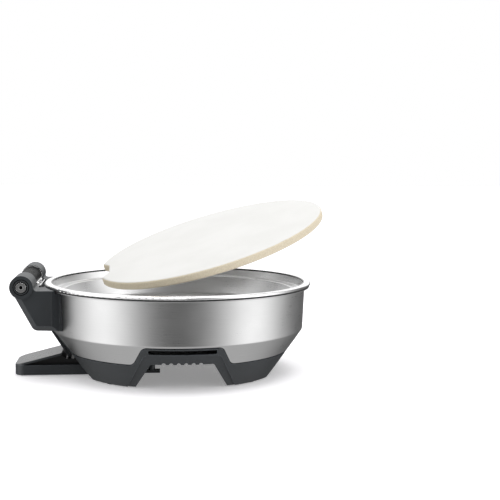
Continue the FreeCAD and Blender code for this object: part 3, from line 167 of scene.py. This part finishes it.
def spun(graph, around, along):
    """Coordinates for lines that run round the bowl's axis."""
    x, y, z = graph.axes(graph.place())
    angle = graph.math("ARCTAN2", y, x)
    return graph.vector(
        graph.math("MULTIPLY", angle, around), 0.0, graph.math("MULTIPLY", z, along)
    )


def brushed_steel(name, base, roughness, anisotropy):
    """Steel sheet brushed round the bowl: fine level lines and a few longer ones."""
    material, graph, shader = new_material(name, grey(base), 1.0, roughness)
    fine = graph.noise(spun(graph, 9.0, 5200.0), 1.0, 5.0, 0.62)
    coarse = graph.noise(spun(graph, 2.6, 900.0), 1.0, 3.0, 0.55)
    smudge = graph.noise(graph.place(), 16.0, 3.0, 0.6)
    lines = graph.scaled_sum(fine, 0.7, graph.math("MULTIPLY", coarse, 0.3))
    tone = graph.stretch(lines, 0.36, 0.64)
    graph.feed(
        shader.inputs["Base Color"], graph.mix(tone, grey(base * 0.96), grey(base * 1.02))
    )
    rough = graph.math(
        "ADD",
        graph.stretch(lines, 0.3, 0.7, roughness - 0.03, roughness + 0.04),
        graph.stretch(smudge, 0.35, 0.7, -0.015, 0.03),
    )
    graph.feed(shader.inputs["Roughness"], rough)
    graph.feed(shader.inputs["Normal"], graph.bump(lines, 0.00002, 0.18))
    shader.inputs["Anisotropic"].default_value = anisotropy
    tangent = graph.add("ShaderNodeTangent", direction_type="RADIAL", axis="Z")
    graph.feed(shader.inputs["Tangent"], tangent.outputs[0])
    return material


RIM_JOINT_SHADOW = 0.1745


def polished_rim():
    """Bright rolled edge: polished, with faint lines round it, a little haze, and a painted shadow
    line at its inner edge.
    """
    material, graph, shader = new_material("rim_steel", grey(0.93), 1.0, 0.12)
    lines = graph.noise(spun(graph, 5.0, 1600.0), 1.0, 3.0, 0.55)
    haze = graph.noise(graph.place(), 34.0, 3.0, 0.5)
    rough = graph.math(
        "ADD",
        graph.stretch(lines, 0.3, 0.7, 0.1, 0.15),
        graph.stretch(haze, 0.35, 0.7, -0.015, 0.04),
    )
    graph.feed(shader.inputs["Roughness"], rough)
    x, y, _ = graph.axes(graph.place())
    # Painted shadow: a thin near-black ring at the rim's inner edge, where it meets the liner.
    joint_shadow = graph.stretch(graph.length(x, y), RIM_JOINT_SHADOW, RIM_JOINT_SHADOW - 0.0004)
    bright = graph.mix(graph.stretch(haze, 0.3, 0.7), grey(0.9), grey(0.94))
    graph.feed(shader.inputs["Base Color"], graph.mix(joint_shadow, bright, grey(0.03)))
    return material


def satin_metal(name, base, roughness, grain, wear=0.0):
    """Plain satin metal with a fine irregular grain, and edges lighter by the wear share: part
    wear, part painted highlight.
    """
    material, graph, shader = new_material(name, grey(base), 1.0, roughness)
    place = graph.place()
    grains = graph.noise(place, grain, 4.0, 0.6)
    cloud = graph.noise(place, 30.0, 3.0, 0.5)
    graph.feed(
        shader.inputs["Roughness"],
        graph.math(
            "ADD",
            graph.stretch(grains, 0.3, 0.7, roughness - 0.04, roughness + 0.05),
            graph.stretch(cloud, 0.35, 0.7, -0.02, 0.03),
        ),
    )
    rounded, edges = edge_wear_and_highlight(graph, 0.0004, 0.9, 0.999)
    colour = graph.mix(graph.stretch(cloud, 0.3, 0.7), grey(base * 0.94), grey(base))
    # Lighter edges: part wear, part painted highlight along the rounded edges.
    lit = graph.math("MULTIPLY", edges, wear)
    graph.feed(shader.inputs["Base Color"], graph.mix(lit, colour, grey(min(base * 1.3, 0.95))))
    graph.feed(shader.inputs["Normal"], graph.bump(grains, 0.00001, 0.3, rounded))
    return material


HINGE_PIN = (-0.2051, 0.1272)
BOLT_SOCKET = 0.00245


def from_pin(graph):
    """Distance from the hinge pin's axis."""
    x, _, z = graph.axes(graph.place())
    off_x = graph.math("SUBTRACT", x, HINGE_PIN[0])
    off_z = graph.math("SUBTRACT", z, HINGE_PIN[1])
    return graph.length(off_x, off_z)


def ringed_cap():
    """Charcoal plastic with painted shade: the cap's dish and ring groove are dark."""
    material = moulded("cap_plastic", CHARCOAL, 0.4)
    graph = Graph(material.node_tree)
    shader = graph.nodes["Principled BSDF"]
    # Painted shade: near-black, with less specular, in the cap's dish and its ring groove.
    distance = from_pin(graph)
    dish_shade = graph.stretch(distance, CAP_DISH, CAP_DISH - 0.0002)
    past = graph.stretch(distance, CAP_GROOVE[0] - 0.0001, CAP_GROOVE[0] + 0.0001)
    short = graph.stretch(distance, CAP_GROOVE[1] + 0.0001, CAP_GROOVE[1] - 0.0001)
    dark = graph.math("ADD", dish_shade, graph.math("MULTIPLY", past, short), clamp=True)
    colour = shader.inputs["Base Color"].links[0].from_socket
    graph.feed(shader.inputs["Base Color"], graph.mix(dark, colour, (0.003, 0.003, 0.003, 1)))
    graph.feed(
        shader.inputs["Specular IOR Level"], graph.stretch(dark, 0.0, 1.0, 0.5, 0.12)
    )
    return material


def socket_steel():
    """Bright steel, with painted shade dark inside the socket of each bolt's head."""
    material = satin_metal("bolt_steel", 0.86, 0.2, 1400.0, 0.5)
    graph = Graph(material.node_tree)
    shader = graph.nodes["Principled BSDF"]
    # Painted shade: near-black inside each bolt head's socket.
    socket = graph.stretch(from_pin(graph), BOLT_SOCKET, BOLT_SOCKET - 0.0002)
    colour = shader.inputs["Base Color"].links[0].from_socket
    graph.feed(shader.inputs["Base Color"], graph.mix(socket, colour, (0.008, 0.008, 0.008, 1)))
    return material


def sheathed_element():
    """The element's sheath: dark oxide with straw and blue heat colours."""
    material, graph, shader = new_material("element_sheath", grey(0.1), 0.85, 0.5)
    place = graph.place()
    patches = graph.noise(place, 55.0, 4.0, 0.55)
    fine = graph.noise(place, 1500.0, 3.0, 0.6)
    tint = graph.mix(
        graph.stretch(patches, 0.45, 0.62), (0.075, 0.07, 0.068, 1), (0.15, 0.115, 0.085, 1)
    )
    tint = graph.mix(graph.stretch(patches, 0.38, 0.3), tint, (0.07, 0.075, 0.1, 1))
    graph.feed(shader.inputs["Base Color"], tint)
    graph.feed(shader.inputs["Roughness"], graph.stretch(fine, 0.3, 0.7, 0.42, 0.62))
    graph.feed(shader.inputs["Normal"], graph.bump(fine, 0.00003, 0.5))
    return material


# ---------------------------------------------------------------- plastics and rubber

PIT_DEPTH = 0.00002


def moulded(name, colour, roughness, edge_light=1.9, specular=0.5, edge=0.0006):
    """Moulded plastic: a fine eroded texture, and edges a little lighter, partly rubbed wear and
    partly painted highlight.
    """
    material, graph, shader = new_material(name, (*colour, 1.0), 0.0, roughness)
    shader.inputs["Specular IOR Level"].default_value = specular
    place = graph.place()
    pits = graph.noise(place, 2600.0, 3.0, 0.6)
    cloud = graph.noise(place, 22.0, 3.0, 0.55)
    breakup = graph.noise(place, 240.0, 4.0, 0.65)
    rounded, edges = edge_wear_and_highlight(graph, edge, 0.86, 0.999)
    # Lighter edges: part rubbed wear, part painted highlight.
    rubbed_and_lit = graph.math("MULTIPLY", edges, graph.stretch(breakup, 0.3, 0.62, 0.25, 1.0))
    dark = tuple(c * 0.9 for c in colour) + (1.0,)
    light = tuple(c * 1.1 for c in colour) + (1.0,)
    worn_and_lit = tuple(min(c * edge_light, 0.5) for c in colour) + (1.0,)
    base = graph.mix(graph.stretch(cloud, 0.3, 0.7), dark, light)
    graph.feed(shader.inputs["Base Color"], graph.mix(rubbed_and_lit, base, worn_and_lit))
    graph.feed(
        shader.inputs["Roughness"],
        graph.math(
            "ADD",
            graph.stretch(pits, 0.3, 0.7, roughness - 0.04, roughness + 0.06),
            graph.math(
                "SUBTRACT",
                graph.stretch(cloud, 0.35, 0.65, 0.0, 0.04),
                graph.math("MULTIPLY", rubbed_and_lit, 0.1),
            ),
        ),
    )
    graph.feed(shader.inputs["Normal"], graph.bump(pits, PIT_DEPTH, 0.45, rounded))
    return material


def rubber():
    material, graph, shader = new_material("rubber", (0.018, 0.018, 0.019, 1), 0.0, 0.8)
    place = graph.place()
    grain = graph.noise(place, 1800.0, 3.0, 0.7)
    dust = graph.noise(place, 160.0, 4.0, 0.6)
    graph.feed(
        shader.inputs["Base Color"],
        graph.mix(
            graph.stretch(dust, 0.5, 0.75), (0.016, 0.016, 0.017, 1), (0.05, 0.048, 0.045, 1)
        ),
    )
    graph.feed(shader.inputs["Roughness"], graph.stretch(grain, 0.3, 0.7, 0.72, 0.9))
    graph.feed(shader.inputs["Normal"], graph.bump(grain, 0.00004, 0.5))
    return material


def woven_sleeve():
    """Glass-fibre sleeving over the inner wires."""
    material, graph, shader = new_material("wire_sleeve", (0.7, 0.66, 0.58, 1), 0.0, 0.8)
    place = graph.place()
    x, y, z = graph.axes(place)
    across = graph.math("SINE", graph.math("MULTIPLY", graph.math("ADD", x, z), 9000.0))
    other = graph.math("SINE", graph.math("MULTIPLY", graph.math("SUBTRACT", y, z), 9000.0))
    weave = graph.math("MULTIPLY", across, other)
    stain = graph.noise(place, 70.0, 3.0, 0.6)
    graph.feed(
        shader.inputs["Base Color"],
        graph.mix(graph.stretch(stain, 0.4, 0.7), (0.72, 0.68, 0.6, 1), (0.5, 0.43, 0.33, 1)),
    )
    graph.feed(shader.inputs["Roughness"], graph.stretch(stain, 0.3, 0.7, 0.7, 0.85))
    graph.feed(shader.inputs["Normal"], graph.bump(weave, 0.0001, 0.6))
    return material


# ---------------------------------------------------------------- stone and ceramic

STONE_TILT = math.radians(18.7)
STONE_HEADING = math.radians(24.6)
STONE_UP = Vector(
    (
        -math.sin(STONE_TILT) * math.cos(STONE_HEADING),
        -math.sin(STONE_TILT) * math.sin(STONE_HEADING),
        math.cos(STONE_TILT),
    )
)


def baking_stone():
    """Warm white smooth top; raw sandy edge and underside with fine pits."""
    material, graph, shader = new_material("baking_stone", (0.84, 0.83, 0.79, 1), 0.0, 0.6)
    coords = graph.add("ShaderNodeTexCoord")
    place = coords.outputs["Object"]
    facing = graph.add("ShaderNodeVectorMath", operation="DOT_PRODUCT")
    graph.feed(facing.inputs[0], coords.outputs["Normal"])
    facing.inputs[1].default_value = STONE_UP
    edge_noise = graph.noise(place, 260.0, 3.0, 0.6)
    waver = graph.stretch(edge_noise, 0.2, 0.8, -0.08, 0.08)
    ragged = graph.math("ADD", facing.outputs["Value"], waver)
    top = graph.stretch(ragged, 0.62, 0.86)
    sand = graph.noise(place, 900.0, 5.0, 0.7)
    cloud = graph.noise(place, 14.0, 4.0, 0.55)
    specks = graph.add("ShaderNodeTexVoronoi", {"Vector": place, "Scale": 620.0})
    speck = graph.stretch(specks.outputs["Distance"], 0.16, 0.05)
    sparse = graph.stretch(graph.noise(place, 90.0, 2.0, 0.5), 0.52, 0.66)
    glaze = graph.mix(
        graph.stretch(cloud, 0.3, 0.7), (0.53, 0.527, 0.512, 1), (0.56, 0.557, 0.544, 1)
    )
    flecks = graph.math("MULTIPLY", graph.math("MULTIPLY", speck, sparse), 0.22)
    glaze = graph.mix(flecks, glaze, (0.55, 0.5, 0.42, 1))
    raw = graph.mix(graph.stretch(sand, 0.3, 0.7), (0.5, 0.43, 0.31, 1), (0.66, 0.6, 0.47, 1))
    raw = graph.mix(graph.math("MULTIPLY", speck, 0.35), raw, (0.28, 0.22, 0.15, 1))
    under = graph.stretch(facing.outputs["Value"], -0.6, -0.9)
    pale = graph.mix(graph.stretch(sand, 0.3, 0.7), (0.47, 0.465, 0.45, 1), (0.56, 0.555, 0.54, 1))
    raw = graph.mix(under, raw, pale)
    graph.feed(shader.inputs["Base Color"], graph.mix(top, raw, glaze))
    rough_top = graph.stretch(sand, 0.3, 0.7, 0.5, 0.6)
    rough_raw = graph.stretch(sand, 0.3, 0.7, 0.78, 0.95)
    difference = graph.math("SUBTRACT", rough_top, rough_raw)
    graph.feed(shader.inputs["Roughness"], graph.scaled_sum(top, difference, rough_raw))
    strength = graph.stretch(top, 0.0, 1.0, 0.6, 0.12)
    graph.feed(shader.inputs["Normal"], graph.bump(sand, 0.00012, strength))
    return material


def steatite():
    """Unglazed ceramic of the terminal block, fuse and thermostat bodies."""
    material, graph, shader = new_material("steatite", (0.78, 0.74, 0.66, 1), 0.0, 0.7)
    place = graph.place()
    grain = graph.noise(place, 1300.0, 4.0, 0.6)
    stain = graph.noise(place, 60.0, 3.0, 0.6)
    graph.feed(
        shader.inputs["Base Color"],
        graph.mix(graph.stretch(stain, 0.35, 0.7), (0.8, 0.76, 0.69, 1), (0.66, 0.6, 0.5, 1)),
    )
    graph.feed(shader.inputs["Roughness"], graph.stretch(grain, 0.3, 0.7, 0.6, 0.78))
    graph.feed(shader.inputs["Normal"], graph.bump(grain, 0.00005, 0.4))
    return material


# ---------------------------------------------------------------- what each node wears

CHARCOAL = (0.019, 0.0225, 0.0255)
BLACK = (0.004, 0.0042, 0.0046)
DRUM = (0.0025, 0.0026, 0.0029)
CAP_DISH = 0.0081
CAP_GROOVE = (0.0093, 0.0106)


def paint(node, material):
    mesh = NODES[node].data
    mesh.materials.clear()
    mesh.materials.append(material)


def paint_all():
    housing = brushed_steel("housing_steel", 0.6, 0.3, 0.55)
    rim = polished_rim()
    liner = brushed_steel("liner_metal", 0.84, 0.3, 0.3)
    bright = satin_metal("bright_steel", 0.86, 0.2, 1400.0, 0.5)
    bolts = socket_steel()
    zinc = satin_metal("zinc", 0.62, 0.34, 1200.0, 0.4)
    # edge_light 5 paints bright highlight lines along the frame's edges, with some wear.
    charcoal = moulded("charcoal_plastic", CHARCOAL, 0.42, edge_light=5.0, edge=0.0009)
    dark = moulded("black_plastic", BLACK, 0.36)
    drum = moulded("drum_plastic", DRUM, 0.4, specular=0.06)
    cover = moulded("cover_plastic", CHARCOAL, 0.27, specular=0.8)
    cap = ringed_cap()
    wear = {
        "outer_housing": housing,
        "rim_ring": rim,
        "bowl_liner": liner,
        "baking_stone": baking_stone(),
        "heating_element": sheathed_element(),
        "internal_wires": woven_sleeve(),
    }
    pads = rubber()
    ceramic = steatite()
    groups = (
        (charcoal, ("base_frame", "hinge_block", "rear_spine", "rear_foot_base",
                    "cord_cleat_near", "cord_cleat_far", "control_slider")),
        (cover, ("rear_foot_cover",)),
        (cap, ("hinge_cap_near", "hinge_cap_far")),
        (drum, ("hinge_barrel",)),
        (dark, ("rear_foot_web", "cord_gland", "bottom_plate")),
        (pads, ("leg_feet", "rear_foot_pads", "rim_seal")),
        (bolts, ("hinge_bolt_near", "hinge_bolt_far")),
        (bright, ("hinge_pin", "hinge_washers", "lid_bracket")),
        (zinc, ("plate_screws", "foot_screws", "hinge_block_screws", "bracket_screws",
                "element_clips")),
        (ceramic, ("terminal_block", "thermostat", "thermal_fuse")),
    )
    for material, names in groups:
        for name in names:
            wear[name] = material
    for name, material in wear.items():
        paint(name, material)


# ---------------------------------------------------------------- floor and light

FLOOR_HALF = 9.0
FLOOR_GLOW = 0.25


def make_floor():
    """A pale floor that is clear from below, so that the underside can be seen."""
    mesh = bpy.data.meshes.new("floor")
    corners = [(x, y, 0) for x, y in ((-1, -1), (1, -1), (1, 1), (-1, 1))]
    points = [(x * FLOOR_HALF, y * FLOOR_HALF, z) for x, y, z in corners]
    mesh.from_pydata(points, [], [(0, 1, 2, 3)])
    floor = bpy.data.objects.new("floor", mesh)
    bpy.context.scene.collection.objects.link(floor)
    material, graph, shader = new_material("floor", (0.93, 0.92, 0.94, 1), 0.0, 0.9)
    shader.inputs["Specular IOR Level"].default_value = 0.0
    shader.inputs["Emission Color"].default_value = (1, 1, 1, 1)
    shader.inputs["Emission Strength"].default_value = FLOOR_GLOW
    clear = graph.add("ShaderNodeBsdfTransparent").outputs[0]
    back = graph.add("ShaderNodeNewGeometry").outputs["Backfacing"]
    both = graph.add("ShaderNodeMixShader", {0: back, 1: shader.outputs[0], 2: clear})
    graph.feed(graph.nodes["Material Output"].inputs["Surface"], both.outputs[0])
    mesh.materials.append(material)
    floor.visible_glossy = False


SOFT_BOX = 1.72
SOFT_BOX_ANGLE = math.radians(70)
SOFT_BOX_SPREAD = math.radians(22)
SOFT_BOX_SKEW = math.radians(1.9)
BACK_WALL = 1.1
BACK_WALL_EDGE = (math.radians(138), math.radians(158))
ROOM = 0.12
CEILING = 1.15
GROUND = 0.65
TOP_LIGHT_PLACE = (0.1, 0.1, 2.0)
TOP_LIGHT_TARGET = (0, 0, 0.1)
TOP_LIGHT_SIZE = (1.8, 1.8)
TOP_LIGHT_POWER = 26.0


def make_world():
    """Two tall soft boxes at the sides, a bright ceiling and back wall, darker in front."""
    world = bpy.data.worlds.new("studio")
    bpy.context.scene.world = world
    world.use_nodes = True
    graph = Graph(world.node_tree)
    sky = graph.nodes["Background"]
    sky.inputs["Color"].default_value = (1, 1, 1, 1)
    direction = graph.add("ShaderNodeTexCoord").outputs["Generated"]
    x, y, z = graph.axes(direction)
    turn = graph.math("ARCTAN2", x, graph.math("MULTIPLY", y, -1.0))
    level = graph.math("ABSOLUTE", graph.math("ADD", turn, SOFT_BOX_SKEW))
    spread = graph.math("DIVIDE", graph.math("SUBTRACT", level, SOFT_BOX_ANGLE), SOFT_BOX_SPREAD)
    square = graph.math("MULTIPLY", spread, spread)
    box = graph.math("EXPONENT", graph.math("MULTIPLY", square, -0.5))
    behind = graph.stretch(level, *BACK_WALL_EDGE, 0.0, BACK_WALL)
    raised = graph.math("MULTIPLY", behind, graph.stretch(z, 0.0, 0.12))
    room = graph.math("ADD", raised, ROOM)
    walls = graph.scaled_sum(box, SOFT_BOX, room)
    ceiling = graph.stretch(z, 0.3, 0.75)
    under = graph.stretch(z, -0.45, -0.8)
    above = graph.math("MULTIPLY", ceiling, CEILING)
    below = graph.math("MULTIPLY", under, GROUND)
    side_share = graph.math("SUBTRACT", 1.0, graph.math("ADD", ceiling, under))
    sides = graph.math("MULTIPLY", walls, side_share)
    light = graph.math("ADD", sides, graph.math("ADD", above, below))
    seen = graph.add("ShaderNodeLightPath").outputs["Is Camera Ray"]
    strength = graph.add("ShaderNodeMix", {0: seen, 2: light, 3: 1.0}, data_type="FLOAT")
    graph.feed(sky.inputs["Strength"], strength.outputs[0])


def area_light(name, place, target, size, power, colour=(1, 1, 1)):
    data = bpy.data.lights.new(name, "AREA")
    data.shape = "RECTANGLE"
    data.size, data.size_y = size
    data.energy = power
    data.color = colour
    lamp = bpy.data.objects.new(name, data)
    lamp.location = place
    lamp.rotation_mode = "QUATERNION"
    lamp.rotation_quaternion = (Vector(target) - Vector(place)).to_track_quat("-Z", "Y")
    bpy.context.scene.collection.objects.link(lamp)
    return lamp


def make_light():
    make_world()
    top = area_light(
        "top_light", TOP_LIGHT_PLACE, TOP_LIGHT_TARGET, TOP_LIGHT_SIZE, TOP_LIGHT_POWER
    )
    top.visible_camera = False
    settings = bpy.context.scene.view_settings
    settings.view_transform = "Standard"
    settings.look = "None"


make_camera()
paint_all()
make_floor()
make_light()
